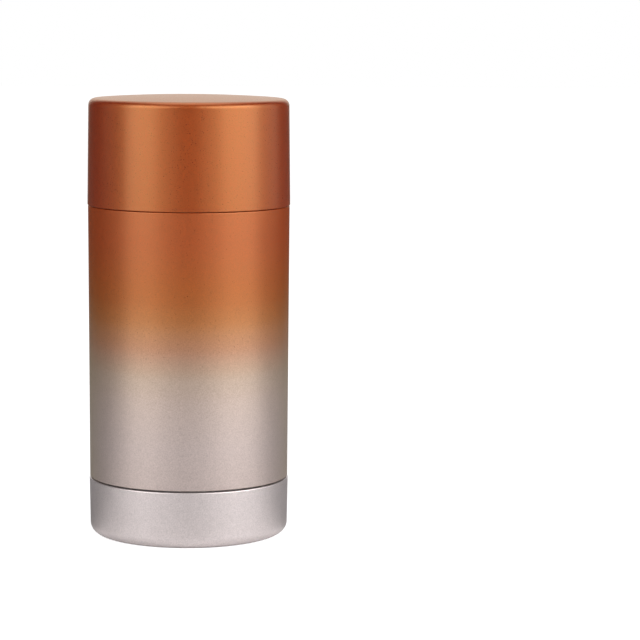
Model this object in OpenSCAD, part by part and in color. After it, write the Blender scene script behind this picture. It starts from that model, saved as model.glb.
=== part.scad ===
// Empty round twist-up container for a stick of deodorant.
// Three painted shells stand over natural white inner pieces: cap, body and twist base.
// Turning the base turns the spindle, whose left-hand thread lifts the keyed platform.
// Millimetres, +Z up, origin at the centre of the base's underside.

/* [Outside form] */
// Diameter over the rim of the cap
pack_d = 50.4; // [44:0.1:60]
// Height of the cap shell
cap_h = 27.15; // [25:0.05:40]
// Height of the body shell
body_h = 67.9; // [50:0.1:90]
// Height of the twist base
base_h = 14.1; // [13:0.1:24]
// How much the cap narrows from rim to top, on the radius
cap_draft = 0.32; // [0:0.01:0.8]
// Step in from the cap's rim to the body's shoulder, on the radius
cap_step = 0.13; // [0:0.01:0.4]
// How much the body narrows from shoulder to foot, on the radius
body_draft = 0.31; // [0:0.01:0.8]
// Step out from the body's foot to the base, on the radius
base_step = 0.14; // [0:0.01:0.4]
// How much the base narrows from top to foot, on the radius
base_draft = 0.25; // [0:0.01:0.8]
// Rise of the cap's crowned top above its edge
cap_crown = 0.8; // [0.4:0.05:1.4]
// Rounding of the cap's top edge
cap_edge = 1.7; // [1:0.1:4]
// Rounding of the base's bottom edge
base_edge = 2.6; // [1:0.1:4]
// Small rounding of the shell edges at the seams
seam_edge = 0.35; // [0.1:0.05:0.6]
// Open height of the seam between cap and body
cap_seam = 0.1; // [0.05:0.05:0.4]
// Open height of the seam between body and base
base_seam = 0.35; // [0.2:0.05:0.8]

/* [Walls] */
// Wall of the cap shell at its top
cap_wall = 1.3; // [1:0.05:2]
// Thickness of the cap shell's top panel at its edge
cap_panel = 1; // [0.9:0.05:2]
// Wall of the cap liner
liner_wall = 1; // [0.8:0.05:1.5]
// Wall of the body shell at its foot
sleeve_wall = 1.3; // [1:0.05:1.6]
// Thickness of the body shell's shoulder lip
shoulder_t = 1.4; // [1:0.05:2.5]
// Wall of the barrel, its neck and its skirt
barrel_wall = 1.2; // [0.9:0.05:1.6]
// Thickness of the barrel's floor
barrel_floor = 1.6; // [1:0.1:2.5]
// Wall of the base shell at its foot
base_wall = 1.3; // [1:0.05:2]
// Thickness of the base shell's floor
base_floor = 1.5; // [1:0.1:2.5]
// Wall and floor of the base insert
insert_wall = 1.2; // [0.9:0.05:1.6]

/* [Fits and play] */
// Clearance on the radius where an inner piece is pushed into its shell
push_gap = 0.05; // [0.02:0.01:0.1]
// Play on the radius between the cap liner and the neck
cap_play = 0.45; // [0.42:0.01:0.6]
// Play on the radius between the base insert and the barrel's skirt
turn_play = 0.3; // [0.2:0.05:0.5]
// Running clearance on the radius of the spindle's journal
journal_play = 0.08; // [0.03:0.01:0.1]
// Play along the axis of each shoulder of the spindle
thrust_play = 0.15; // [0.05:0.05:0.3]
// Play on the radius between the platform's skirt and the barrel
platform_play = 0.3; // [0.2:0.05:0.5]
// Clearance on the radius of the platform's wiper rings
wiper_play = 0.1; // [0.05:0.01:0.15]
// Clearance on each side of a key rib, and under it
key_play = 0.2; // [0.1:0.05:0.4]
// Clearance between the two threads, on flanks and crests
thread_play = 0.2; // [0.15:0.05:0.4]
// Gap under the platform, and between pieces that pass each other end on
end_gap = 0.3; // [0.2:0.05:0.6]

/* [Snap beads] */
// Radius of the round section of the snap beads
bead_size = 0.6; // [0.5:0.05:0.9]
// How far the beads that hold the inner pieces stand out
bead_hold = 0.25; // [0.1:0.05:0.35]
// How far the beads of neck and cap liner stand out
bead_catch = 0.2; // [0.1:0.01:0.2]

/* [Neck and cap] */
// Height of the neck above the body's shoulder
neck_h = 13.5; // [11:0.1:14]
// Height of the neck's bead above the shoulder
neck_bead_h = 7; // [5:0.1:9]
// How far the liner's rim stays above the cap's rim
liner_lift = 0.6; // [0.4:0.05:1.5]
// Inner corner rounding of the cap shell
cap_corner = 0.8; // [0.5:0.05:1.2]
// Inner corner rounding of the liner
liner_corner = 0.6; // [0.3:0.05:1]

/* [Sealing disc] */
// Thickness of the sealing disc
disc_t = 1; // [0.7:0.05:1.4]
// Rise of the disc's dome
dome_rise = 1.6; // [1:0.1:2.2]
// Depth of the plug rim in the neck
plug_depth = 3; // [2:0.1:4]
// Wall of the plug rim
plug_wall = 0.9; // [0.7:0.05:1.3]
// Play on the radius of the plug rim in the neck
plug_play = 0.3; // [0.2:0.05:0.4]
// Radius of the half-moon pull tab
tab_r = 6.5; // [5:0.1:8]
// Height of the pull tab above the dome
tab_h = 4.2; // [3:0.1:4.4]
// Thickness of the pull tab
tab_t = 1; // [0.8:0.05:1.6]
// Thickness of the rolled edge of the pull tab
tab_roll = 1.8; // [1.7:0.05:2.4]

/* [Barrel] */
// Height of the barrel's floor above the body's foot
floor_lift = 2.75; // [1.5:0.05:5]
// How far the skirt reaches down into the base
skirt_depth = 5.6; // [4:0.1:7]
// Diameter of the spindle's bearing boss
boss_d = 15; // [13:0.1:20]
// How far the boss reaches below the barrel's floor
boss_drop = 2; // [1:0.1:2.5]
// Height of the rings that centre the barrel in its shell
ring_h = 3; // [2.4:0.1:6]
// Number of ribs outside the barrel
outer_ribs = 12; // [6:1:24]
// Width of the ribs outside the barrel
outer_rib_w = 1; // [0.8:0.1:2]
// Number of key ribs inside the barrel
keys = 4; // [2:1:6]
// Width of a key rib
key_w = 1.4; // [1:0.1:2.4]
// Depth of a key rib
key_depth = 1; // [0.6:0.05:1.4]

/* [Platform] */
// Height of the platform's skirt
platform_h = 11; // [9:0.1:16]
// Wall of the platform's skirt
platform_wall = 1; // [0.8:0.05:1.4]
// Thickness of the platform's floor
platform_floor = 1.2; // [0.8:0.1:2]
// How far the platform's floor lies below its top edge
cup_depth = 2; // [1.5:0.1:4]
// Wall of the threaded hub
hub_wall = 2; // [1.4:0.1:3]
// Radius of the ring that anchors the stick
anchor_r = 13; // [12:0.1:14.5]
// Wall of the anchor ring and thickness of the gussets
web_t = 1; // [0.8:0.1:1.6]
// Number of windows in each ring of the floor, and of gussets
windows = 8; // [6:1:12]
// Width of the bridge between two windows
bridge_w = 2.4; // [1.8:0.1:4]
// Thickness of the block behind each key notch
key_block = 1.4; // [1:0.1:2]
// Height of a wiper ring
wiper_h = 0.8; // [0.6:0.05:1.2]

/* [Spindle] */
// Rise of the platform for one turn
lead = 5; // [4.4:0.1:6.5]
// Diameter of the spindle's core
core_d = 6.4; // [6:0.1:8]
// Height of the thread above the core
thread_h = 1.1; // [0.8:0.05:1.2]
// Width of the thread at its root
thread_root_w = 2.6; // [2.2:0.1:2.8]
// Width of the thread at its crest
thread_crest_w = 1.8; // [1.2:0.1:1.9]
// Diameter of the journal
journal_d = 9.8; // [9.4:0.1:11]
// Diameter of the thrust flange
flange_d = 18; // [16:0.1:22]
// Thickness of the thrust flange
flange_t = 1.8; // [1.2:0.1:2.4]
// Height of the snap bead above the barrel's floor
snap_h = 1; // [0.8:0.05:1.4]
// Size of the drive hexagon, over its corners
drive_d = 10; // [8:0.1:12]
// How far the spindle's tip stays below the platform's top at full lift
tip_short = 3; // [2.5:0.1:5]

/* [Base] */
// Depth of the recess under the base
recess = 0.6; // [0.3:0.05:1]
// Width of the flat rim that the base stands on
foot_w = 2.6; // [1.5:0.1:4]
// Inner corner rounding of the base shell
base_corner = 1.3; // [0.8:0.05:2]
// How far the insert's ring stays below the base's top
insert_drop = 0.6; // [0.4:0.05:1.5]
// Wall of the drive socket
socket_wall = 3; // [2:0.1:4]
// Number of ribs in the insert
insert_ribs = 8; // [6:1:12]
// Thickness of the insert's ribs
insert_rib_t = 1.2; // [0.8:0.1:2]

/* [Hidden] */

copper = [0.61, 0.28, 0.15];
bronze = [0.66, 0.44, 0.34];
rose_silver = [0.74, 0.69, 0.67];
natural_white = [0.93, 0.93, 0.9];

// Fineness of the turned shapes, of their small round sections, of dome and crown, and of one thread turn
round_fn = 120;
bead_fn = 32;
dome_fn = 360;
crown_fn = 720;
turn_steps = 24;

// Straight stretch of a sloping wall next to each rounded corner
land = 0.2;
// How far a cut reaches past the face that it opens
over = 1;
// How deep a thread's ridge is rooted in the wall that carries it
sink = 0.4;
// Bare length of hub or spindle beyond each end of its thread
thread_end = 0.4;

// Radii, worked inwards from the outside of each shell
cap_rim_r = pack_d / 2;
cap_top_r = cap_rim_r - cap_draft;
cap_bore_r = cap_top_r - cap_wall;
liner_r = cap_bore_r - push_gap;
liner_bore_r = liner_r - liner_wall;
neck_r = liner_bore_r - cap_play;
bore_r = neck_r - barrel_wall;
shoulder_r = cap_rim_r - cap_step;
foot_r = shoulder_r - body_draft;
sleeve_bore_r = foot_r - sleeve_wall;
ring_r = sleeve_bore_r - push_gap;
base_top_r = foot_r + base_step;
base_foot_r = base_top_r - base_draft;
base_bore_r = base_foot_r - base_wall;
insert_r = base_bore_r - push_gap;
insert_bore_r = insert_r - insert_wall;
skirt_r = insert_bore_r - turn_play;
skirt_bore_r = skirt_r - barrel_wall;
plug_r = bore_r - plug_play;
platform_r = bore_r - platform_play;
platform_bore_r = platform_r - platform_wall;
key_r = bore_r - key_depth;
core_r = core_d / 2;
crest_r = core_r + thread_h;
nut_bore_r = crest_r + thread_play;
hub_r = nut_bore_r + hub_wall;
journal_r = journal_d / 2;
bearing_r = journal_r + journal_play;
socket_r = drive_d / 2 + push_gap;
tower_r = socket_r + socket_wall;

// Levels, from the table upwards
body_z = base_h + base_seam;
shoulder_z = body_z + body_h;
cap_z = shoulder_z + cap_seam;
cap_brim_h = cap_h - cap_crown;
cap_cavity_h = cap_brim_h - cap_panel;
neck_top_z = shoulder_z + neck_h;
base_floor_z = recess + base_floor;
insert_floor_z = base_floor_z + insert_wall;
skirt_z = body_z - skirt_depth;
floor_z = body_z + floor_lift;
floor_under_z = floor_z - barrel_floor;
boss_z = floor_under_z - boss_drop;
flange_top_z = boss_z - thrust_play;
flange_z = flange_top_z - flange_t;
snap_z = floor_z + thrust_play;
snap_top_z = snap_z + snap_h;
platform_z = floor_z + end_gap;
platform_top_z = platform_z + platform_h;
hub_z = snap_top_z + end_gap;
plug_z = neck_top_z - plug_depth;
key_top_z = plug_z - end_gap;
travel = plug_z - end_gap - platform_top_z;
spindle_top_z = platform_top_z + travel - tip_short;
dome_top_z = neck_top_z + disc_t + dome_rise;

// Half widths of the outer thread's ridge, and of the inner ridge that runs in its groove
root_half = thread_root_w / 2;
crest_half = thread_crest_w / 2;
flank = (root_half - crest_half) / thread_h;
nut_tip_r = core_r + thread_play;
nut_tip_half = lead / 2 - root_half + flank * thread_play - thread_play;
nut_root_half = lead / 2 - crest_half + flank * thread_play - thread_play;
nut_start_z = hub_z + thread_end + nut_root_half;
nut_stop_z = platform_top_z - thread_end - nut_root_half;
thread_start_z = nut_start_z - lead / 2;
thread_stop_z = spindle_top_z - root_half - thread_end;

// Half section from the axis out to a wall from r_low up to r_high, with round corners.
// The wall runs straight up for the land next to each corner and slopes in between.
module half_section(r_low, r_high, h, edge_low, edge_high) {
    low = [r_low - edge_low, edge_low];
    high = [r_high - edge_high, h - edge_high];
    polygon([[0, 0], [low.x, 0], low, [r_low, edge_low], [r_low, edge_low + land],
             [r_high, high.y - land], [r_high, high.y], high, [high.x, h], [0, h]]);
    translate(low) circle(edge_low, $fn = bead_fn);
    translate(high) circle(edge_high, $fn = bead_fn);
}

// Half section of a ring from r_in to r_out between two levels
module ring_section(r_in, r_out, z_low, z_high) {
    translate([r_in, z_low]) square([r_out - r_in, z_high - z_low]);
}

// Round bead that stands out from a wall of radius r, with gap added for its groove
module outer_bead(r, z, stand, gap = 0) {
    translate([r + stand - bead_size, z]) circle(bead_size + gap, $fn = bead_fn);
}

// Round bead that stands in from a bore of radius r
module inner_bead(r, z, stand) {
    translate([r - stand + bead_size, z]) circle(bead_size, $fn = bead_fn);
}

// Ridge that winds left-handed round the axis, with its centre line from z_start to z_stop.
// Its section is a trapezium, and its crest fades into the wall at both ends.
module ridge(wall_r, tip_r, wall_half, tip_half, z_start, z_stop) {
    turns = (z_stop - z_start) / lead;
    steps = ceil(turns * turn_steps);
    fade = 4;
    inward = tip_r < wall_r;
    points = [
        for (i = [0 : steps])
            let (
                angle = -360 * turns * i / steps,
                z = z_start + (z_stop - z_start) * i / steps,
                grown = min(1, (1 + min(i, steps - i)) / (fade + 1)),
                tip = wall_r + (tip_r - wall_r) * grown
            )
            for (p = [[wall_r, -wall_half], [tip, -tip_half], [tip, tip_half], [wall_r, wall_half]])
                [p.x * cos(angle), p.x * sin(angle), z + p.y]
    ];
    sides = [
        for (i = [0 : steps - 1])
            for (k = [0 : 3])
                let (a = 4 * i + k, b = 4 * i + (k + 1) % 4)
                each [[a, b, b + 4], [a, b + 4, a + 4]]
    ];
    last = 4 * steps;
    ends = [[2, 1, 0], [3, 2, 0], [last, last + 1, last + 2], [last, last + 2, last + 3]];
    faces = concat(sides, ends);
    polyhedron(points, inward ? faces : [for (f = faces) [f[2], f[1], f[0]]]);
}

// Copies of a piece spread evenly round the axis
module spread(count) {
    for (i = [0 : count - 1]) rotate(360 * i / count) children();
}

module cap_shell() {
    bead_z = cap_cavity_h / 2;
    flat_r = cap_top_r - cap_edge;
    crown_half = flat_r - land;
    crown_r = (crown_half * crown_half + cap_crown * cap_crown) / (2 * cap_crown);
    color(copper) translate([0, 0, cap_z]) rotate_extrude($fn = round_fn) difference() {
        union() {
            half_section(cap_rim_r, cap_top_r, cap_brim_h, seam_edge, cap_edge);
            intersection() {
                translate([0, cap_h - crown_r]) circle(crown_r, $fn = crown_fn);
                translate([0, cap_brim_h - cap_panel / 2]) square([flat_r, cap_panel + cap_crown]);
            }
        }
        half_section(cap_bore_r, cap_bore_r, cap_cavity_h, cap_corner, cap_corner);
        square([cap_bore_r, cap_corner]);
        outer_bead(liner_r, bead_z, bead_hold, push_gap);
    }
}

module cap_liner() {
    h = cap_cavity_h - liner_lift;
    hold_z = cap_cavity_h / 2 - liner_lift;
    catch_z = shoulder_z + neck_bead_h - 2 * bead_size - cap_z - liner_lift;
    outer_corner = cap_corner + push_gap;
    color(natural_white) translate([0, 0, cap_z + liner_lift]) rotate_extrude($fn = round_fn) {
        difference() {
            union() {
                half_section(liner_r, liner_r, h, seam_edge, outer_corner);
                outer_bead(liner_r, hold_z, bead_hold);
            }
            half_section(liner_bore_r, liner_bore_r, h - liner_wall, liner_corner, liner_corner);
            square([liner_bore_r, liner_corner]);
        }
        intersection() {
            inner_bead(liner_bore_r, catch_z, bead_catch);
            square([liner_bore_r + liner_wall / 2, h]);
        }
    }
}

module sealing_disc() {
    dome_r = plug_r - plug_wall;
    sphere_r = (dome_r * dome_r + dome_rise * dome_rise) / (2 * dome_rise);
    seat_z = neck_top_z;
    edge = disc_t / 3;
    color(natural_white) {
        rotate_extrude($fn = round_fn) {
            difference() {
                translate([0, seat_z]) half_section(neck_r, neck_r, disc_t, edge, edge);
                translate([0, seat_z - disc_t]) square([dome_r + plug_wall / 2, 3 * disc_t]);
            }
            ring_section(dome_r - disc_t, plug_r, seat_z + disc_t / 2, seat_z + disc_t);
            ring_section(dome_r, plug_r, plug_z, seat_z + disc_t / 2);
            intersection() {
                translate([0, dome_top_z - sphere_r]) difference() {
                    circle(sphere_r, $fn = dome_fn);
                    circle(sphere_r - disc_t, $fn = dome_fn);
                }
                translate([0, seat_z - disc_t]) square([dome_r + plug_wall / 2, 3 * disc_t + dome_rise]);
            }
        }
        pull_tab();
    }
}

// Upright half-moon with a rolled edge, rooted in the dome
module pull_tab() {
    centre_z = dome_top_z + tab_h - tab_r;
    root_z = dome_top_z - disc_t / 2;
    intersection() {
        translate([0, 0, centre_z]) rotate([90, 0, 0]) {
            cylinder(h = tab_t, r = tab_r - tab_roll / 2, center = true, $fn = round_fn);
            rotate_extrude($fn = round_fn)
                translate([tab_r - tab_roll / 2, 0]) circle(tab_roll / 2, $fn = bead_fn);
        }
        translate([-tab_r, -tab_roll, root_z]) cube([2 * tab_r, 2 * tab_roll, tab_h + disc_t]);
    }
}

module body_shell() {
    lip_r = neck_r + push_gap;
    color(bronze) translate([0, 0, body_z]) rotate_extrude($fn = round_fn) difference() {
        half_section(foot_r, shoulder_r, body_h, seam_edge, seam_edge);
        ring_section(0, lip_r, 0, body_h);
        ring_section(0, sleeve_bore_r, 0, body_h - shoulder_t);
        outer_bead(ring_r, ring_h, bead_hold, push_gap);
    }
}

module barrel() {
    ring_top_z = shoulder_z - shoulder_t;
    lower_ring_z = body_z + ring_h / 2;
    neck_edge = barrel_wall / 3;
    color(natural_white) difference() {
        union() {
            rotate_extrude($fn = round_fn) {
                difference() {
                    union() {
                        translate([0, body_z])
                            half_section(neck_r, neck_r, neck_top_z - body_z, neck_edge, neck_edge);
                        ring_section(0, ring_r, ring_top_z - ring_h, ring_top_z);
                        ring_section(0, ring_r, lower_ring_z, lower_ring_z + ring_h);
                        outer_bead(ring_r, body_z + ring_h, bead_hold);
                        outer_bead(neck_r, shoulder_z + neck_bead_h, bead_catch);
                        ring_section(0, skirt_r, skirt_z, body_z + neck_edge);
                    }
                    ring_section(0, bore_r, floor_z, neck_top_z);
                    ring_section(0, skirt_bore_r, skirt_z, floor_under_z);
                }
                ring_section(0, boss_d / 2, boss_z, floor_z);
            }
            outer_rib_set(lower_ring_z + ring_h / 2, ring_top_z - ring_h / 2);
            key_set();
        }
        translate([0, 0, boss_z - over])
            cylinder(h = floor_z - boss_z + 2 * over, r = bearing_r, $fn = round_fn);
    }
}

// Ribs between barrel and shell that keep the barrel's wall from drawing in
module outer_rib_set(z_low, z_high) {
    root_r = neck_r - barrel_wall / 2;
    spread(outer_ribs)
        translate([root_r, -outer_rib_w / 2, z_low])
            cube([ring_r - end_gap - root_r, outer_rib_w, z_high - z_low]);
}

// Key ribs that stop the platform from turning
module key_set() {
    root_r = bore_r + barrel_wall / 2;
    spread(keys)
        translate([key_r, -key_w / 2, floor_z - barrel_floor / 2])
            cube([root_r - key_r, key_w, key_top_z - floor_z + barrel_floor / 2]);
}

module platform() {
    deck_z = platform_top_z - cup_depth;
    wiper_r = bore_r - wiper_play;
    color(natural_white) {
        difference() {
            union() {
                rotate_extrude($fn = round_fn) {
                    ring_section(platform_bore_r, platform_r, platform_z, platform_top_z);
                    ring_section(platform_bore_r, wiper_r, platform_z, platform_z + wiper_h);
                    ring_section(platform_bore_r, wiper_r, platform_top_z - wiper_h, platform_top_z);
                    ring_section(0, platform_bore_r + platform_wall / 2, deck_z - platform_floor, deck_z);
                    ring_section(0, hub_r, hub_z, platform_top_z);
                    ring_section(anchor_r - web_t / 2, anchor_r + web_t / 2, deck_z - platform_floor,
                                 platform_top_z - cup_depth / 3);
                }
                rotate(180 / windows) spread(windows) gusset(deck_z);
                spread(keys) key_guide();
            }
            window_ring(hub_r + web_t, anchor_r - web_t, deck_z);
            window_ring(anchor_r + web_t, platform_bore_r - key_block - web_t, deck_z);
            spread(keys) key_notch();
            translate([0, 0, hub_z - over])
                cylinder(h = platform_top_z - hub_z + 2 * over, r = nut_bore_r, $fn = round_fn);
        }
        ridge(nut_bore_r + sink, nut_tip_r, nut_root_half + flank * sink, nut_tip_half,
              nut_start_z, nut_stop_z);
    }
}

// Upright web under the platform's floor, from the hub to the skirt
module gusset(deck_z) {
    low_z = hub_z + web_t;
    translate([hub_r - hub_wall / 2, -web_t / 2, low_z])
        cube([platform_bore_r - hub_r + hub_wall / 2 + platform_wall / 2, web_t, deck_z - web_t - low_z]);
}

// Block on the inside of the skirt that gives a key notch its floor
module key_guide() {
    w = key_w + 2 * (key_play + platform_wall);
    translate([platform_bore_r - key_block, -w / 2, platform_z])
        cube([key_block + platform_wall / 2, w, platform_h]);
}

// Slot for one key rib, open at both ends
module key_notch() {
    w = key_w + 2 * key_play;
    translate([key_r - key_play, -w / 2, platform_z - over])
        cube([key_depth + key_play + over, w, platform_h + 2 * over]);
}

// Windows between the bridges, through which the stick grips the platform
module window_ring(r_in, r_out, deck_z) {
    gap_angle = bridge_w / r_in * 180 / PI;
    span = 360 / windows - gap_angle;
    spread(windows)
        rotate(-span / 2)
            rotate_extrude(angle = span, $fn = round_fn)
                ring_section(r_in, r_out, deck_z - platform_floor - over, deck_z + over);
}

module spindle() {
    drive_z = insert_floor_z + 2 * push_gap;
    tip_h = thread_end + root_half;
    color(natural_white) {
        rotate_extrude($fn = round_fn) {
            ring_section(0, flange_d / 2, flange_z, flange_top_z);
            ring_section(0, journal_r, flange_top_z - flange_t / 2, snap_top_z);
            translate([0, snap_z + snap_h / 2]) snap_section();
            ring_section(0, core_r, snap_top_z - snap_h / 2, spindle_top_z - tip_h);
            polygon([[0, spindle_top_z - tip_h], [core_r, spindle_top_z - tip_h],
                     [core_r - tip_h / 2, spindle_top_z], [0, spindle_top_z]]);
        }
        translate([0, 0, drive_z]) cylinder(h = flange_z - drive_z + flange_t / 2, d = drive_d, $fn = 6);
        ridge(core_r - sink, crest_r, root_half + flank * sink, crest_half, thread_start_z,
              thread_stop_z);
    }
}

// Round snap bead above the barrel's floor that keeps the spindle in its bearing
module snap_section() {
    stand = bead_hold + journal_play;
    translate([journal_r + stand - snap_h / 2, 0]) circle(snap_h / 2, $fn = bead_fn);
}

module base_shell() {
    recess_r = base_foot_r - base_edge - foot_w;
    cavity_h = base_h - base_floor_z;
    color(rose_silver) rotate_extrude($fn = round_fn) difference() {
        half_section(base_foot_r, base_top_r, base_h, base_edge, seam_edge);
        translate([0, -recess]) half_section(recess_r, recess_r, 2 * recess, recess / 2, recess / 2);
        translate([0, base_floor_z])
            half_section(base_bore_r, base_bore_r, cavity_h + base_corner, base_corner, base_corner);
        ring_section(0, base_bore_r, base_h - base_corner, base_h);
        outer_bead(insert_r, base_floor_z + cavity_h / 2, bead_hold, push_gap);
    }
}

module base_insert() {
    top_z = base_h - insert_drop;
    corner = base_corner + push_gap;
    bead_z = base_floor_z + (base_h - base_floor_z) / 2;
    rib_top_z = skirt_z - end_gap;
    color(natural_white) difference() {
        union() {
            rotate_extrude($fn = round_fn) {
                difference() {
                    union() {
                        translate([0, base_floor_z])
                            half_section(insert_r, insert_r, top_z - base_floor_z, corner, seam_edge);
                        outer_bead(insert_r, bead_z, bead_hold);
                    }
                    translate([0, insert_floor_z])
                        half_section(insert_bore_r, insert_bore_r, top_z, insert_wall, insert_wall);
                }
                ring_section(0, tower_r, base_floor_z, flange_z);
            }
            spread(insert_ribs)
                translate([tower_r - socket_wall / 2, -insert_rib_t / 2, insert_floor_z - insert_wall / 2])
                    cube([insert_r - tower_r + socket_wall / 2 - insert_wall / 2, insert_rib_t,
                          rib_top_z - insert_floor_z + insert_wall / 2]);
        }
        translate([0, 0, insert_floor_z])
            cylinder(h = flange_z - insert_floor_z + over, r = socket_r, $fn = 6);
    }
}

cap_shell();
cap_liner();
sealing_disc();
body_shell();
barrel();
platform();
spindle();
base_shell();
base_insert();
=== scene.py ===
"""Looks of the empty twist-up deodorant stick container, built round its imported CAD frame.

The painted shells, the cap's liner, the barrel and the sealing disc are turned surfaces: a profile of
straight stretches and arcs is revolved on a grid of profile points and turn angles. The disc's pull tab
and the barrel's key ribs are surfaces of their own. The platform, the spindle and the base insert keep
their CAD shapes. Lengths are metres.
"""
import math

import bpy
import numpy as np
from mathutils import Matrix, Vector


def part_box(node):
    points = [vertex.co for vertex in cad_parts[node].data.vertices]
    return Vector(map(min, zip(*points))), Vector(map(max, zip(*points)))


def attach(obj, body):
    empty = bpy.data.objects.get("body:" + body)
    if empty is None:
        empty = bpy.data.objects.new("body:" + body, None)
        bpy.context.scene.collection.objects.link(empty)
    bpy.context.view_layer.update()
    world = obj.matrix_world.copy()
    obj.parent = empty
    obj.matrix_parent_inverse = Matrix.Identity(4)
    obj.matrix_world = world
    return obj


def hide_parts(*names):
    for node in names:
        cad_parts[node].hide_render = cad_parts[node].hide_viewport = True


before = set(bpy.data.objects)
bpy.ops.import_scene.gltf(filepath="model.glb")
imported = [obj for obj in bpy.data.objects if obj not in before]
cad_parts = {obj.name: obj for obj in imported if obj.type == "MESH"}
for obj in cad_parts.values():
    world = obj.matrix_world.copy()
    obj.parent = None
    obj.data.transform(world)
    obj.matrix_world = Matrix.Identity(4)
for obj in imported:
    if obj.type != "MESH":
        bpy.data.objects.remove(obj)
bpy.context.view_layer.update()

MM = 0.001

# Photograph frame and camera, from a fit of the outline and of both seams; angles in radians
IMAGE_W = 640
SENSOR_MM = 36.0
FOCAL_PX = 2714.6
CAMERA_BACK = 0.6749
CAMERA_UP = 0.13655
CAMERA_PAN = 0.0486
CAMERA_PITCH = 0.1224
CAMERA_ROLL = -0.0063
CAMERA_CLIP = 0.01

# Shells: how much they narrow, their walls and their edge roundings
CAP_DRAFT = 0.32 * MM
CAP_WALL = 1.3 * MM
CAP_CROWN = 0.8 * MM
CAP_PANEL = 1.0 * MM
CAP_EDGE = 1.7 * MM
CAP_CORNER = 0.8 * MM
BODY_DRAFT = 0.31 * MM
SLEEVE_WALL = 1.3 * MM
SHOULDER_T = 1.4 * MM
BASE_DRAFT = 0.25 * MM
BASE_WALL = 1.3 * MM
BASE_FLOOR = 1.5 * MM
BASE_EDGE = 2.6 * MM
BASE_CORNER = 1.3 * MM
RECESS = 0.6 * MM
FOOT_W = 2.6 * MM
SEAM_EDGE = 0.3 * MM
RIM_EDGE = 0.18 * MM
INNER_EDGE = 0.2 * MM
PUSH_GAP = 0.05 * MM

# White inner pieces: walls, snap beads, rings and the levels that their CAD boxes don't give
LINER_WALL = 1.0 * MM
LINER_CORNER = 0.6 * MM
BARREL_WALL = 1.2 * MM
TURN_PLAY = 0.3 * MM
BEAD_SIZE = 0.6 * MM
BEAD_HOLD = 0.25 * MM
BEAD_CATCH = 0.2 * MM
BEAD_ROUNDING = 0.9 * BEAD_SIZE
BEAD_FILLET = 0.05 * MM
NECK_BEAD_H = 7.0 * MM
RING_H = 3.0 * MM
FLOOR_LIFT = 2.75 * MM
BARREL_FLOOR = 1.6 * MM
BOSS_R = 7.5 * MM
BOSS_DROP = 2.0 * MM
BEARING_R = 4.98 * MM
KEYS = 4
KEY_W = 1.4 * MM
KEY_DEPTH = 1.0 * MM
KEY_CHAMFER = 0.2 * MM
KEY_TOP_GAP = 0.3 * MM
DISC_T = 1.0 * MM
DOME_RISE = 1.6 * MM
PLUG_DEPTH = 3.0 * MM
PLUG_WALL = 0.9 * MM
PLUG_PLAY = 0.3 * MM
DOME_SHARES = (0.2, 0.4, 0.6, 0.8)
DOME_ROUNDING = 40 * MM
DOME_BLEND = 1.5 * MM
TAB_R = 6.5 * MM
TAB_H = 4.2 * MM
TAB_T = 1.0 * MM
TAB_ROLL = 1.8 * MM

# Lamps: name, azimuth and elevation in degrees, distance, size and radiance; all face one point on the
# pack's axis, at LAMP_AIM. The room is plain and dim.
LAMPS = (
    ("left_side", -97, 12, 0.9, (0.5, 0.9), 0.3),
    ("left_box", -55, 12, 0.9, (0.655, 0.9), 2.85),
    ("left_edge", -25, 12, 0.9, (0.317, 0.9), 0.9),
    ("left_high", -48, 40, 0.9, (0.9, 0.3), 2.6),
    ("right_edge", 25, 12, 0.9, (0.317, 0.9), 1.1),
    ("right_box", 60, 12, 0.9, (0.84, 0.9), 3.1),
    ("right_high", 50, 40, 0.9, (1.1, 0.3), 3.6),
    ("right_side", 103, 12, 0.9, (0.5, 0.9), 0.85),
    ("high_back", 180, 75, 1.0, (0.7, 0.7), 1.0),
)
LAMP_AIM = 0.055
WHITE = (1.0, 1.0, 1.0)
ROOM_LEVEL = 0.06
# Ranges of a direction's X and Y over which the backdrop ends, at its sides and towards the front
BACKDROP_SIDE = (0.2, 0.45)
BACKDROP_TOP = (-0.4, -0.1)
# Floor: base colour and emission in front and behind, base colour at the foot, and the ranges of direction
# (turn, back) or of distance in metres (apron, fade) over which it changes. The base colours are painted
# light
# and shade: paler at the pack's foot and in front, dark behind, for what the floor reflects and bounces onto
# the pack
FLOOR_FRONT = (0.6, 0.75)
FLOOR_REAR = (0.2, 0.92)
FLOOR_FOOT_LIGHT = 0.8
FLOOR_TURN = (-0.4, 0.3)
FLOOR_BACK = (0.955, 0.995)
FLOOR_APRON = (0.028, 0.042)
FLOOR_FADE = (0.05, 0.35)
FLOOR_ROUGHNESS = 0.9
FLOOR_LEVEL = -0.02 * MM
FLOOR_HALF = 3.0

# Paint: colours, tints of the shine, and settings that all coats share
CAP_COPPER = (0.26, 0.01, 0.0)
BASE_SILVER = (0.605, 0.54, 0.535)
PAINT_ROUGHNESS = 0.37
CAP_TINT = (1.0, 0.84, 0.15, 1.0)
BODY_TINT = (1.0, 0.92, 0.46, 1.0)
SILVER_TINT = (1.0, 1.0, 1.0, 1.0)
PAINT_IOR = 2.2
COAT_ROUGHNESS = 0.3
FLAKE_ROUGHENS = 0.5
FADE_BUMP = 0.2
BUMP_DEPTH = 0.02 * MM
# The body's paint by height: level in metres, colour, metallic share, coat weight and flake amount
BODY_PAINT = (
    (0.0745, (0.3, 0.028, 0.0), 0.4, 0.0, 0.72),
    (0.0600, (0.31, 0.057, 0.004), 0.48, 0.2, 0.74),
    (0.0540, (0.33, 0.1, 0.03), 0.5, 0.5, 0.76),
    (0.0480, (0.36, 0.17, 0.11), 0.56, 0.5, 0.7),
    (0.0425, (0.4, 0.282, 0.228), 0.62, 0.3, 0.6),
    (0.0365, (0.445, 0.345, 0.315), 0.66, 0.3, 0.55),
    (0.0240, (0.47, 0.385, 0.378), 0.68, 0.3, 0.55),
)

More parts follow.
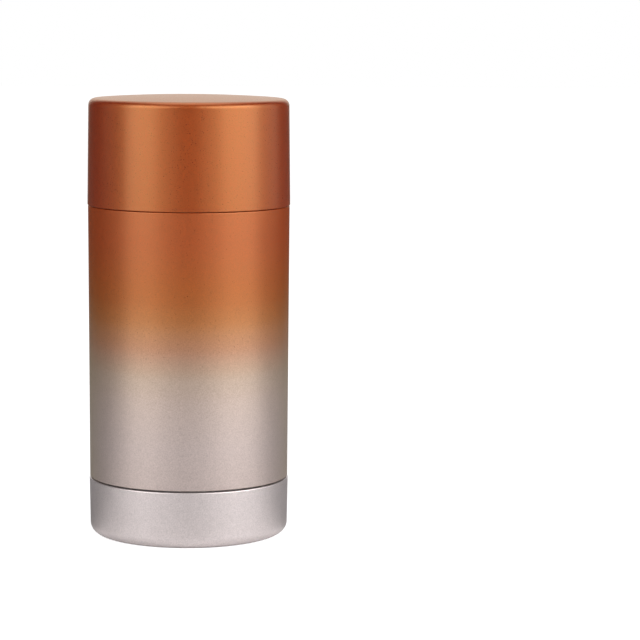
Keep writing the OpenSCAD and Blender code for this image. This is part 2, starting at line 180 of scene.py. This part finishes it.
# White plastic: both tones, noise scales per metre, roughness and how much it varies, and bump
PLASTIC_DARK = (0.64, 0.64, 0.62)
PLASTIC_PALE = (0.69, 0.69, 0.675)
PLASTIC_TONE_SCALE = 90.0
PLASTIC_FINE_SCALE = 4000.0
PLASTIC_ROUGHNESS = 0.36
PLASTIC_ROUGH_SPREAD = 0.1
PLASTIC_BUMP = 0.1

# Steps of the surfaces: round the axis, along an arc, along the tab, and from a crown's edge to its middle
TURN_STEPS = 256
ARC_STEPS = 10
TAB_STEPS = 48
CROWN_RINGS = 12


def corner_arc(before, corner, after, radius, steps=ARC_STEPS):
    """Round one corner of a profile: returns the arc's points and outward normals, as rows of (r, z).

    The arc touches both straight stretches. It starts radius * tan(turn / 2) before the corner, and its
    point at heading h is centre + side * radius * (sin h, -cos h), with side +1 on a left turn.
    """
    heading_in = math.atan2(corner[1] - before[1], corner[0] - before[0])
    heading_out = math.atan2(after[1] - corner[1], after[0] - corner[0])
    turn = (heading_out - heading_in + math.pi) % (2 * math.pi) - math.pi
    side = math.copysign(1.0, turn)
    back = radius * math.tan(abs(turn) / 2)
    start = np.array(corner) - back * np.array([math.cos(heading_in), math.sin(heading_in)])
    centre = start + side * radius * np.array([-math.sin(heading_in), math.cos(heading_in)])
    heading = heading_in + turn * np.linspace(0, 1, steps + 1)
    normal = np.column_stack([np.sin(heading), -np.cos(heading)])
    return centre + side * radius * normal, normal


def rounded_path(corners):
    """Profile through rows of (r, z, rounding radius), interior on the left; both ends lie on the axis
    or, for a closed loop, the first corner follows the last. Returns points, outward normals and
    whether it is such a loop."""
    rows = np.array(corners, float)
    closed = rows[0, 0] > 0
    points, normals = [], []
    count = len(rows)
    for i in range(count):
        if not closed and i in (0, count - 1):
            a, b = rows[min(i, count - 2), :2], rows[min(i, count - 2) + 1, :2]
            along = (b - a) / np.linalg.norm(b - a)
            points.append(rows[i:i + 1, :2])
            normals.append(np.array([[along[1], -along[0]]]))
            continue
        arc, normal = corner_arc(rows[i - 1, :2], rows[i, :2], rows[(i + 1) % count, :2], rows[i, 2])
        points.append(arc)
        normals.append(normal)
    return np.vstack(points), np.vstack(normals), closed


def crowned(path, flat_r, rise):
    """Raise a profile's flat end into a crown, on rings from flat_r to the axis: the level at radius r is
    the top's less rise * (r / flat_r)^2, and the normal leans out by the slope, 2 * rise * r / flat_r^2."""
    points, normals, closed = path
    r = flat_r * np.linspace(1, 0, CROWN_RINGS + 1)[1:]
    slope = 2 * rise * r / flat_r ** 2
    top = np.column_stack([r, points[-1, 1] - rise * (1 + (r / flat_r) ** 2)])
    lean = np.column_stack([slope, np.ones_like(r)]) / np.hypot(slope, 1)[:, None]
    return np.vstack([points[:-1], top]), np.vstack([normals[:-1], lean]), closed


def turned(name, profile, steps=TURN_STEPS):
    """Surface of revolution: point (i, j) is (r_i cos t_j, r_i sin t_j, z_i), with t_j = 2 pi j / steps.
    Profile ends on the axis become single poles, and normals are the profile's own, turned with it."""
    path, normal, closed = profile
    ring, ring_normal = (path, normal) if closed else (path[1:-1], normal[1:-1])
    angle = 2 * np.pi * np.arange(steps) / steps
    around = np.column_stack([np.cos(angle), np.sin(angle)])

    def spin(rows):
        flat = rows[:, None, 0, None] * around[None]
        up = np.broadcast_to(rows[:, None, 1, None], flat.shape[:2] + (1,))
        return np.concatenate([flat, up], axis=2).reshape(-1, 3)

    co, no = spin(ring), spin(ring_normal)
    index = np.arange(len(ring) * steps).reshape(len(ring), steps)
    if closed:
        index = np.vstack([index, index[:1]])
    step_on = np.roll(index, -1, axis=1)
    quads = np.stack([index[:-1], step_on[:-1], step_on[1:], index[1:]], axis=-1).reshape(-1, 4)
    faces = quads.tolist()
    if not closed:
        start, stop = len(co), len(co) + 1
        poles = np.array([[0, 0, path[0, 1]], [0, 0, path[-1, 1]]])
        co = np.vstack([co, poles])
        no = np.vstack([no, [[0, 0, normal[0, 1]], [0, 0, normal[-1, 1]]]])
        first, last = index[0], index[-1]
        faces += np.column_stack([np.full(steps, start), np.roll(first, -1), first]).tolist()
        faces += np.column_stack([last, np.roll(last, -1), np.full(steps, stop)]).tolist()
    return mesh_piece(name, co, faces, no)


def mesh_piece(name, co, faces, normals=None):
    """A mesh object at the origin with smooth faces, and with its own vertex normals where given."""
    mesh = bpy.data.meshes.new(name)
    mesh.from_pydata(co.tolist(), [], faces)
    mesh.validate()
    mesh.shade_smooth()
    if normals is not None:
        mesh.normals_split_custom_set_from_vertices(normals.tolist())
    obj = bpy.data.objects.new(name, mesh)
    bpy.context.scene.collection.objects.link(obj)
    return obj


def dress(obj, material):
    """Give a piece or a CAD node one material, in place of whatever it had."""
    obj.data.materials.clear()
    obj.data.materials.append(material)


def stand_for(obj, node, body, material):
    """Let a new piece ride on its body in place of its CAD node."""
    dress(obj, material)
    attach(obj, body)
    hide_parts(node)


def cap_profile():
    """Cap shell from the middle of its ceiling, down inside, round the rim and over the crowned top. Its
    outer wall is rounded into the tangent that touches the crown at its edge and ends at twice its rise."""
    low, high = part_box("cap_shell")
    rim_r, rim_z, top_z = high.x, low.z, high.z
    wall_r = rim_r - CAP_DRAFT
    bore_r = wall_r - CAP_WALL
    flat_r = wall_r - CAP_EDGE
    ceiling_z = top_z - CAP_CROWN - CAP_PANEL
    peak_z = top_z + CAP_CROWN
    outline = rounded_path([
        (0, ceiling_z, 0),
        (bore_r, ceiling_z, CAP_CORNER),
        (bore_r, rim_z, INNER_EDGE),
        (rim_r, rim_z, RIM_EDGE),
        (wall_r, peak_z - 2 * CAP_CROWN * wall_r / flat_r, CAP_EDGE),
        (0, peak_z, 0),
    ])
    return crowned(outline, flat_r, CAP_CROWN)


def body_profile():
    """Body sleeve as a closed loop: outside up to the shoulder, over its lip and down inside."""
    low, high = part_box("body_shell")
    foot_z, top_z = low.z, high.z
    foot_r = high.x - BODY_DRAFT
    bore_r = foot_r - SLEEVE_WALL
    lip_r = neck_radius() + PUSH_GAP
    return rounded_path([
        (foot_r, foot_z, RIM_EDGE),
        (high.x, top_z, SEAM_EDGE),
        (lip_r, top_z, INNER_EDGE),
        (lip_r, top_z - SHOULDER_T, INNER_EDGE),
        (bore_r, top_z - SHOULDER_T, INNER_EDGE),
        (bore_r, foot_z, INNER_EDGE),
    ])


def base_profile():
    """Twist base from the middle of its recess, over the standing rim, up outside and down inside."""
    low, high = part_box("base_shell")
    foot_r = high.x - BASE_DRAFT
    bore_r = foot_r - BASE_WALL
    recess_r = foot_r - BASE_EDGE - FOOT_W
    return rounded_path([
        (0, low.z + RECESS, 0),
        (recess_r, low.z + RECESS, RECESS / 2),
        (recess_r, low.z, INNER_EDGE),
        (foot_r, low.z, BASE_EDGE),
        (high.x, high.z, SEAM_EDGE),
        (bore_r, high.z, INNER_EDGE),
        (bore_r, low.z + RECESS + BASE_FLOOR, BASE_CORNER),
        (0, low.z + RECESS + BASE_FLOOR, 0),
    ])


def bead_rows(r, z, stand, way):
    """Rows of a round snap bead on a wall climbed (way 1) or on a bore descended (way -1). Its flanks lean
    by acos(1 - stand / BEAD_SIZE), as the CAD bead's do where it leaves the wall."""
    lean = math.acos(1 - stand / BEAD_SIZE)
    out = stand + BEAD_ROUNDING * (1 / math.cos(lean) - 1)
    half = out / math.tan(lean)
    return [
        (r, z - way * half, BEAD_FILLET),
        (r + way * out, z, BEAD_ROUNDING),
        (r, z + way * half, BEAD_FILLET),
    ]


def liner_profile():
    """Cap liner from the middle of its ceiling, down inside past its catch bead, and up outside."""
    low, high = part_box("cap_liner")
    r = high.x - BEAD_HOLD
    bore_r = r - LINER_WALL
    ceiling_z = high.z - LINER_WALL
    cap_low, cap_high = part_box("cap_shell")
    cap_cavity = cap_high.z - CAP_CROWN - CAP_PANEL - cap_low.z
    hold_z = cap_low.z + cap_cavity / 2
    catch_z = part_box("body_shell")[1].z + NECK_BEAD_H - 2 * BEAD_SIZE
    return rounded_path([
        (0, ceiling_z, 0),
        (bore_r, ceiling_z, LINER_CORNER),
        *bead_rows(bore_r, catch_z, BEAD_CATCH, -1),
        (bore_r, low.z, INNER_EDGE),
        (r, low.z, SEAM_EDGE),
        *bead_rows(r, hold_z, BEAD_HOLD, 1),
        (r, high.z, CAP_CORNER),
        (0, high.z, 0),
    ])


def barrel_profile():
    """Barrel as a closed loop: up outside past both centring rings and the neck's bead, down the bore, over
    the floor, through the spindle's bearing, and back under the floor to the skirt."""
    low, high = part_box("barrel")
    foot_z, shoulder_z = (corner.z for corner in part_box("body_shell"))
    neck_r = neck_radius()
    bore_r = neck_r - BARREL_WALL
    ring_r = high.x - BEAD_HOLD
    skirt_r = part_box("base_insert")[1].x - BEAD_HOLD - BARREL_WALL - TURN_PLAY
    low_ring_z = foot_z + RING_H / 2
    low_ring_top_z = foot_z + 1.5 * RING_H
    ring_top_z = shoulder_z - SHOULDER_T
    floor_z = foot_z + FLOOR_LIFT
    under_z = floor_z - BARREL_FLOOR
    boss_z = under_z - BOSS_DROP
    fine = INNER_EDGE / 2
    return rounded_path([
        (skirt_r, low.z, INNER_EDGE),
        (skirt_r, foot_z, fine),
        (neck_r, foot_z, fine),
        (neck_r, low_ring_z, fine),
        (ring_r, low_ring_z, fine),
        *bead_rows(ring_r, foot_z + RING_H, BEAD_HOLD, 1),
        (ring_r, low_ring_top_z, fine),
        (neck_r, low_ring_top_z, fine),
        (neck_r, ring_top_z - RING_H, fine),
        (ring_r, ring_top_z - RING_H, fine),
        (ring_r, ring_top_z, fine),
        (neck_r, ring_top_z, fine),
        *bead_rows(neck_r, shoulder_z + NECK_BEAD_H, BEAD_CATCH, 1),
        (neck_r, high.z, BARREL_WALL / 3),
        (bore_r, high.z, BARREL_WALL / 3),
        (bore_r, floor_z, INNER_EDGE),
        (BEARING_R, floor_z, INNER_EDGE),
        (BEARING_R, boss_z, INNER_EDGE),
        (BOSS_R, boss_z, INNER_EDGE),
        (BOSS_R, under_z, INNER_EDGE),
        (skirt_r - BARREL_WALL, under_z, INNER_EDGE),
        (skirt_r - BARREL_WALL, low.z, INNER_EDGE),
    ])


def disc_profile():
    """Sealing disc from the middle of its underside, over the plug rim and the flange to the dome. The
    underside falls by DOME_RISE * (r / rim_r)^2, and the flange is rounded into the dome's tangent."""
    low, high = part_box("sealing_disc")
    neck_r = high.x
    plug_r = neck_r - BARREL_WALL - PLUG_PLAY
    rim_r = plug_r - PLUG_WALL
    seat_z = low.z + PLUG_DEPTH
    dome_top_z = seat_z + DISC_T + DOME_RISE
    radii = rim_r * np.array(DOME_SHARES)
    under = [(r, dome_top_z - DISC_T - DOME_RISE * (r / rim_r) ** 2, DOME_ROUNDING) for r in radii]
    outline = rounded_path([
        (0, dome_top_z - DISC_T, 0),
        *under,
        (rim_r, seat_z, INNER_EDGE),
        (rim_r, low.z, INNER_EDGE),
        (plug_r, low.z, INNER_EDGE),
        (plug_r, seat_z, INNER_EDGE / 2),
        (neck_r, seat_z, DISC_T / 3),
        (neck_r, seat_z + DISC_T, DISC_T / 3),
        (rim_r, seat_z + DISC_T, DOME_BLEND),
        (0, dome_top_z + DOME_RISE, 0),
    ])
    return crowned(outline, rim_r, DOME_RISE)


def pull_tab():
    """Half-moon tab with a rolled edge. Point (u, v) is (p cos a, y, centre + p sin a), where (p, y) runs
    along the tab's section from one face round the roll to the other, and a runs from asin(root / p) to
    pi - asin(root / p), so that both ends lie level in the dome. Two flat faces close them."""
    dome_top_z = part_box("sealing_disc")[0].z + PLUG_DEPTH + DISC_T + DOME_RISE
    centre_z = dome_top_z + TAB_H - TAB_R
    root = TAB_R - TAB_H - DISC_T / 2
    roll = TAB_ROLL / 2
    roll_p = TAB_R - roll
    meet = math.asin(TAB_T / 2 / roll)
    turn = np.linspace(math.pi - meet, -math.pi + meet, 2 * ARC_STEPS + 1)
    face_p = np.linspace(root, roll_p - roll * math.cos(meet), ARC_STEPS)[:-1]
    p = np.concatenate([face_p, roll_p + roll * np.cos(turn), face_p[::-1]])
    face_y = np.full(len(face_p), TAB_T / 2)
    y = np.concatenate([face_y, roll * np.sin(turn), -face_y])
    start = np.arcsin(np.clip(root / p, -1, 1))
    share = np.linspace(0, 1, TAB_STEPS + 1)[:, None]
    a = start + (math.pi - 2 * start) * share
    co = np.stack([p * np.cos(a), np.broadcast_to(y, a.shape), centre_z + p * np.sin(a)], axis=-1)
    index = np.arange(a.size).reshape(a.shape)
    index[:, 0] = index[0, 0]
    index[:, -1] = index[0, -1]
    quads = np.stack([index[:-1, :-1], index[:-1, 1:], index[1:, 1:], index[1:, :-1]], axis=-1)
    faces = [list(dict.fromkeys(f)) for f in quads.reshape(-1, 4).tolist()]
    faces += [index[0, ::-1].tolist(), index[-1].tolist()]
    return mesh_piece("pull_tab", co.reshape(-1, 3), faces)


def key_ribs():
    """Key ribs in the bore: each is a bar whose section (x, y) is swept up z and turned by 2 pi i / KEYS."""
    bore_r = neck_radius() - BARREL_WALL
    foot_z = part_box("body_shell")[0].z + FLOOR_LIFT - BARREL_FLOOR / 2
    top_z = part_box("barrel")[1].z - PLUG_DEPTH - KEY_TOP_GAP
    inner = bore_r - KEY_DEPTH
    root = bore_r + BARREL_WALL / 2
    half = KEY_W / 2
    section = np.array([
        [root, -half],
        [root, half],
        [inner + KEY_CHAMFER, half],
        [inner, half - KEY_CHAMFER],
        [inner, -half + KEY_CHAMFER],
        [inner + KEY_CHAMFER, -half],
    ])
    levels = np.array([foot_z, top_z])
    count = len(section)
    co, faces = [], []
    for i in range(KEYS):
        angle = 2 * math.pi * i / KEYS
        spin = np.array([[math.cos(angle), math.sin(angle)], [-math.sin(angle), math.cos(angle)]])
        flat = section @ spin
        bar = np.vstack([np.column_stack([flat, np.full(count, z)]) for z in levels])
        first = 2 * count * i
        side = first + np.column_stack([np.arange(count), np.roll(np.arange(count), -1)])
        faces += np.column_stack([side, side[:, ::-1] + count]).tolist()
        faces += [(first + np.arange(count)[::-1]).tolist(), (first + count + np.arange(count)).tolist()]
        co.append(bar)
    ribs = mesh_piece("key_ribs", np.vstack(co), faces)
    ribs.data.shade_flat()
    return ribs


def neck_radius():
    """Outer radius of the neck: the sealing disc's flange is as wide as the neck."""
    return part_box("sealing_disc")[1].x


def group_sockets(tree, wanted):
    """Make the named sockets of a shader node group; wanted holds (name, direction, type, default)."""
    for name, way, kind, default in wanted:
        socket = tree.interface.new_socket(name=name, in_out=way, socket_type=kind)
        if default is not None:
            socket.default_value = default


def math_node(tree, operation, a, b=None, clamp=False):
    """A Math node on two inputs, each a socket or a plain number; returns its output."""
    node = tree.nodes.new("ShaderNodeMath")
    node.operation = operation
    node.use_clamp = clamp
    for slot, value in zip(node.inputs, (a, b)):
        if value is None:
            continue
        if isinstance(value, (int, float)):
            slot.default_value = value
        else:
            tree.links.new(value, slot)
    return node.outputs[0]


def noise_node(tree, vector, scale, detail):
    """A Noise Texture read along a vector; scale is per metre, or comes from a socket."""
    node = tree.nodes.new("ShaderNodeTexNoise")
    node.inputs["Detail"].default_value = detail
    tree.links.new(vector, node.inputs["Vector"])
    if isinstance(scale, (int, float)):
        node.inputs["Scale"].default_value = scale
    else:
        tree.links.new(scale, node.inputs["Scale"])
    return node.outputs["Fac"]


def mix_color(tree, factor, a, b):
    """A colour Mix node; each input is a socket, or a plain value to set."""
    node = tree.nodes.new("ShaderNodeMix")
    node.data_type = "RGBA"
    for slot, value in ((node.inputs[0], factor), (node.inputs[6], a), (node.inputs[7], b)):
        if isinstance(value, (int, float)):
            slot.default_value = value
        elif isinstance(value, tuple):
            slot.default_value = value + (1.0,)
        else:
            tree.links.new(value, slot)
    return node.outputs[2]


def spray_grain_group():
    """Metallic spray: flake grain and soft cloudiness. It puts out a tinted colour, a roughness and a
    height, all varying over the surface."""
    tree = bpy.data.node_groups.new("spray_grain", "ShaderNodeTree")
    group_sockets(tree, [
        ("Vector", "INPUT", "NodeSocketVector", None),
        ("Color", "INPUT", "NodeSocketColor", (0.5, 0.5, 0.5, 1.0)),
        ("Roughness", "INPUT", "NodeSocketFloat", 0.4),
        ("Flake Scale", "INPUT", "NodeSocketFloat", 3500.0),
        ("Flake Amount", "INPUT", "NodeSocketFloat", 0.5),
        ("Cloud Scale", "INPUT", "NodeSocketFloat", 700.0),
        ("Cloud Amount", "INPUT", "NodeSocketFloat", 0.12),
        ("Color", "OUTPUT", "NodeSocketColor", None),
        ("Roughness", "OUTPUT", "NodeSocketFloat", None),
        ("Height", "OUTPUT", "NodeSocketFloat", None),
    ])
    given = tree.nodes.new("NodeGroupInput").outputs
    made = tree.nodes.new("NodeGroupOutput").inputs
    flake = noise_node(tree, given["Vector"], given["Flake Scale"], detail=1.0)
    cloud = noise_node(tree, given["Vector"], given["Cloud Scale"], detail=3.0)
    flake_part = math_node(tree, "MULTIPLY", math_node(tree, "SUBTRACT", flake, 0.5), given["Flake Amount"])
    cloud_part = math_node(tree, "MULTIPLY", math_node(tree, "SUBTRACT", cloud, 0.5), given["Cloud Amount"])
    shade = math_node(tree, "ADD", math_node(tree, "ADD", flake_part, cloud_part), 1.0)
    scaled = tree.nodes.new("ShaderNodeVectorMath")
    scaled.operation = "SCALE"
    tree.links.new(given["Color"], scaled.inputs[0])
    tree.links.new(shade, scaled.inputs["Scale"])
    tree.links.new(scaled.outputs[0], made["Color"])
    rougher = math_node(tree, "MULTIPLY", flake_part, FLAKE_ROUGHENS)
    rough = math_node(tree, "ADD", given["Roughness"], rougher, clamp=True)
    tree.links.new(rough, made["Roughness"])
    tree.links.new(flake, made["Height"])
    return tree


def material_with_shader(name, constants):
    """A node material with one Principled shader; constants are set on the shader's own sockets."""
    material = bpy.data.materials.new(name)
    material.use_nodes = True
    shader = material.node_tree.nodes["Principled BSDF"]
    for socket, value in constants.items():
        shader.inputs[socket].default_value = value
    return material, material.node_tree, shader


def object_coordinates(tree):
    """Coordinates of the shaded object, in metres from its origin."""
    return tree.nodes.new("ShaderNodeTexCoord").outputs["Object"]


def add_bump(tree, shader, height, strength, distance):
    """Bump from a height socket, with its distance in metres."""
    bump = tree.nodes.new("ShaderNodeBump")
    bump.inputs["Strength"].default_value = strength
    bump.inputs["Distance"].default_value = distance
    tree.links.new(height, bump.inputs["Height"])
    tree.links.new(bump.outputs["Normal"], shader.inputs["Normal"])


def place_grain(tree, group, vector, color):
    """Put the spray group into a material, on a colour or a colour socket; returns the group node."""
    node = tree.nodes.new("ShaderNodeGroup")
    node.node_tree = group
    tree.links.new(vector, node.inputs["Vector"])
    if isinstance(color, tuple):
        node.inputs["Color"].default_value = color + (1.0,)
    else:
        tree.links.new(color, node.inputs["Color"])
    node.inputs["Roughness"].default_value = PAINT_ROUGHNESS
    return node


def painted(name, group, color, metallic, coat, tint, flake, bump):
    """Satin metallic paint of one colour."""
    material, tree, shader = material_with_shader(name, {
        "Metallic": metallic,
        "IOR": PAINT_IOR,
        "Coat Weight": coat,
        "Coat Roughness": COAT_ROUGHNESS,
        "Specular Tint": tint,
    })
    grain = place_grain(tree, group, object_coordinates(tree), color)
    grain.inputs["Flake Amount"].default_value = flake
    tree.links.new(grain.outputs["Color"], shader.inputs["Base Color"])
    tree.links.new(grain.outputs["Roughness"], shader.inputs["Roughness"])
    add_bump(tree, shader, grain.outputs["Height"], bump, BUMP_DEPTH)
    return material


def height_ramp(tree, height, rows):
    """Smooth Color Ramp over height, through rows of (level in metres, colour) from the top down."""
    low, high = rows[-1][0], rows[0][0]
    share = tree.nodes.new("ShaderNodeMapRange")
    tree.links.new(height, share.inputs["Value"])
    share.inputs["From Min"].default_value = low
    share.inputs["From Max"].default_value = high
    node = tree.nodes.new("ShaderNodeValToRGB")
    tree.links.new(share.outputs["Result"], node.inputs["Fac"])
    node.color_ramp.interpolation = "CARDINAL"
    stops = node.color_ramp.elements
    while len(stops) < len(rows):
        stops.new(0.5)
    for stop, (level, color) in zip(stops, reversed(rows)):
        stop.position = (level - low) / (high - low)
        stop.color = color + (1.0,)
    return node.outputs["Color"]


def faded_paint(group):
    """The body's paint: copper above, sprayed over into rose silver below, by height."""
    material, tree, shader = material_with_shader("faded_paint", {
        "IOR": PAINT_IOR,
        "Coat Roughness": COAT_ROUGHNESS,
        "Specular Tint": BODY_TINT,
    })
    vector = object_coordinates(tree)
    split = tree.nodes.new("ShaderNodeSeparateXYZ")
    tree.links.new(vector, split.inputs[0])
    height = split.outputs["Z"]
    color = height_ramp(tree, height, [(z, c) for z, c, m, k, f in BODY_PAINT])
    shares = height_ramp(tree, height, [(z, (m, k, f)) for z, c, m, k, f in BODY_PAINT])
    share = tree.nodes.new("ShaderNodeSeparateColor")
    tree.links.new(shares, share.inputs[0])
    tree.links.new(share.outputs["Red"], shader.inputs["Metallic"])
    tree.links.new(share.outputs["Green"], shader.inputs["Coat Weight"])
    grain = place_grain(tree, group, vector, color)
    tree.links.new(share.outputs["Blue"], grain.inputs["Flake Amount"])
    tree.links.new(grain.outputs["Color"], shader.inputs["Base Color"])
    tree.links.new(grain.outputs["Roughness"], shader.inputs["Roughness"])
    add_bump(tree, shader, grain.outputs["Height"], FADE_BUMP, BUMP_DEPTH)
    return material


def white_plastic():
    """Natural white moulded polypropylene: faintly waxy, with a fine mould texture."""
    material, tree, shader = material_with_shader("natural_white", {
        "Subsurface Weight": 0.15,
        "Subsurface Scale": 0.0015,
        "Subsurface Radius": (1.0, 0.95, 0.85),
    })
    vector = object_coordinates(tree)
    tone = noise_node(tree, vector, PLASTIC_TONE_SCALE, detail=3.0)
    fine = noise_node(tree, vector, PLASTIC_FINE_SCALE, detail=1.0)
    color = mix_color(tree, tone, PLASTIC_DARK, PLASTIC_PALE)
    tree.links.new(color, shader.inputs["Base Color"])
    spread = math_node(tree, "MULTIPLY", fine, PLASTIC_ROUGH_SPREAD)
    rough = math_node(tree, "ADD", spread, PLASTIC_ROUGHNESS)
    tree.links.new(rough, shader.inputs["Roughness"])
    add_bump(tree, shader, fine, PLASTIC_BUMP, BUMP_DEPTH)
    return material


def place_camera():
    """Camera behind the photograph: pan to the right, then pitch down, then roll of the image."""
    cp, sp = math.cos(CAMERA_PAN), math.sin(CAMERA_PAN)
    ct, st = math.cos(CAMERA_PITCH), math.sin(CAMERA_PITCH)
    cr, sr = math.cos(CAMERA_ROLL), math.sin(CAMERA_ROLL)
    forward = Vector((ct * sp, ct * cp, -st))
    right = Vector((cp, -sp, 0))
    up = Vector((st * sp, st * cp, ct))
    rolled_right = cr * right - sr * up
    rolled_up = sr * right + cr * up
    data = bpy.data.cameras.new("camera")
    data.sensor_width = SENSOR_MM
    data.sensor_fit = "HORIZONTAL"
    data.lens = FOCAL_PX * SENSOR_MM / IMAGE_W
    data.clip_start = CAMERA_CLIP
    camera = bpy.data.objects.new("camera", data)
    bpy.context.scene.collection.objects.link(camera)
    turn = Matrix((rolled_right, rolled_up, -forward)).transposed()
    camera.matrix_world = Matrix.Translation((0, -CAMERA_BACK, CAMERA_UP)) @ turn.to_4x4()
    bpy.context.scene.camera = camera


def soft_box(name, azimuth, elevation, distance, size, radiance):
    """Rectangular lamp that faces the pack; azimuth is from the camera's side, + to the right. Its power
    is pi * area * radiance, which gives its face that radiance to all sides."""
    data = bpy.data.lights.new(name, "AREA")
    data.shape = "RECTANGLE"
    data.size, data.size_y = size
    data.energy = math.pi * size[0] * size[1] * radiance
    lamp = bpy.data.objects.new(name, data)
    bpy.context.scene.collection.objects.link(lamp)
    turn, rise = math.radians(azimuth), math.radians(elevation)
    away = Vector((math.sin(turn) * math.cos(rise), -math.cos(turn) * math.cos(rise), math.sin(rise)))
    lamp.location = Vector((0, 0, LAMP_AIM)) + distance * away
    lamp.rotation_euler = (-away).to_track_quat("-Z", "Y").to_euler()


def shown_white(tree, behind):
    """Where white is shown: to camera rays, and behind the pack to glossy and transmission rays too."""
    path = tree.nodes.new("ShaderNodeLightPath")
    mirrored = math_node(tree, "MAXIMUM", path.outputs["Is Glossy Ray"], path.outputs["Is Transmission Ray"])
    mirrored = math_node(tree, "MULTIPLY", mirrored, behind)
    return math_node(tree, "MAXIMUM", path.outputs["Is Camera Ray"], mirrored)


def ramp(tree, value, start, stop, low=0.0, high=1.0):
    """Smooth step of a value from low at start to high at stop."""
    node = tree.nodes.new("ShaderNodeMapRange")
    node.interpolation_type = "SMOOTHSTEP"
    tree.links.new(value, node.inputs["Value"])
    for socket, number in (("From Min", start), ("From Max", stop), ("To Min", low), ("To Max", high)):
        node.inputs[socket].default_value = number
    return node.outputs["Result"]


def light_world():
    """White backdrop, shown as shown_white says. The rest is a plain dim room, paler behind the pack."""
    world = bpy.data.worlds.new("room")
    bpy.context.scene.world = world
    world.use_nodes = True
    tree = world.node_tree
    background = tree.nodes["Background"]
    split = tree.nodes.new("ShaderNodeSeparateXYZ")
    tree.links.new(tree.nodes.new("ShaderNodeTexCoord").outputs["Generated"], split.inputs[0])
    aside = math_node(tree, "ABSOLUTE", split.outputs["X"])
    width = ramp(tree, aside, *BACKDROP_SIDE, low=1.0, high=0.0)
    behind = math_node(tree, "MULTIPLY", width, ramp(tree, split.outputs["Y"], *BACKDROP_TOP))
    room = mix_color(tree, behind, (ROOM_LEVEL,) * 3, WHITE)
    seen = mix_color(tree, shown_white(tree, behind), room, WHITE)
    tree.links.new(seen, background.inputs["Color"])
    background.inputs["Strength"].default_value = 1.0


def lay_floor():
    """Pale floor that keeps the pack's soft shadow; its base colour holds painted light at the pack's foot
    and in front, and painted shade behind. Shown as shown_white says, it whitens with distance.
    """
    half, z = FLOOR_HALF, FLOOR_LEVEL
    co = np.array([[-half, -half, z], [half, -half, z], [half, half, z], [-half, half, z]])
    floor = mesh_piece("floor", co, [[0, 1, 2, 3]])
    material, tree, shader = material_with_shader("floor_white", {
        "Roughness": FLOOR_ROUGHNESS,
        "Specular IOR Level": 0.0,
        "Emission Color": WHITE + (1.0,),
    })
    place = object_coordinates(tree)
    away = tree.nodes.new("ShaderNodeVectorMath")
    away.operation = "LENGTH"
    tree.links.new(place, away.inputs[0])
    way = tree.nodes.new("ShaderNodeVectorMath")
    way.operation = "NORMALIZE"
    tree.links.new(place, way.inputs[0])
    split = tree.nodes.new("ShaderNodeSeparateXYZ")
    tree.links.new(way.outputs["Vector"], split.inputs[0])
    # Painted light and shade in the floor's base colour: paler at the pack's foot and in front, dark behind
    rear = ramp(tree, split.outputs["Y"], *FLOOR_TURN)
    clear = ramp(tree, away.outputs["Value"], *FLOOR_APRON)
    front = mix_color(tree, clear, (FLOOR_FOOT_LIGHT,) * 3, (FLOOR_FRONT[0],) * 3)
    color = mix_color(tree, rear, front, (FLOOR_REAR[0],) * 3)
    tree.links.new(color, shader.inputs["Base Color"])
    near = mix_color(tree, rear, (FLOOR_FRONT[1],) * 3, (FLOOR_REAR[1],) * 3)
    far = ramp(tree, away.outputs["Value"], *FLOOR_FADE)
    whiten = mix_color(tree, far, near, WHITE)
    shown = shown_white(tree, ramp(tree, split.outputs["Y"], *FLOOR_BACK))
    tree.links.new(math_node(tree, "MULTIPLY", shown, whiten), shader.inputs["Emission Strength"])
    dress(floor, material)


def build_pieces():
    """Make the materials and the new pieces, and dress the CAD nodes that stay."""
    grain = spray_grain_group()
    copper = painted(
        "copper_paint", grain, CAP_COPPER, metallic=0.4, coat=0.55, tint=CAP_TINT,
        flake=0.9, bump=0.35
    )
    silver = painted(
        "rose_silver_paint", grain, BASE_SILVER, metallic=0.78, coat=0.2, tint=SILVER_TINT,
        flake=0.5, bump=0.12
    )
    fade = faded_paint(grain)
    white = white_plastic()
    stand_for(turned("cap_skin", cap_profile()), "cap_shell", "cap", copper)
    stand_for(turned("body_skin", body_profile()), "body_shell", "body", fade)
    stand_for(turned("base_skin", base_profile()), "base_shell", "base", silver)
    stand_for(turned("liner_skin", liner_profile()), "cap_liner", "cap", white)
    stand_for(turned("disc_skin", disc_profile()), "sealing_disc", "disc", white)
    stand_for(turned("barrel_skin", barrel_profile()), "barrel", "body", white)
    for piece, body in ((pull_tab(), "disc"), (key_ribs(), "body")):
        dress(piece, white)
        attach(piece, body)
    for node in ("platform", "spindle", "base_insert"):
        dress(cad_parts[node], white)


build_pieces()
place_camera()
light_world()
for lamp in LAMPS:
    soft_box(*lamp)
lay_floor()
bpy.context.scene.view_settings.view_transform = "Standard"
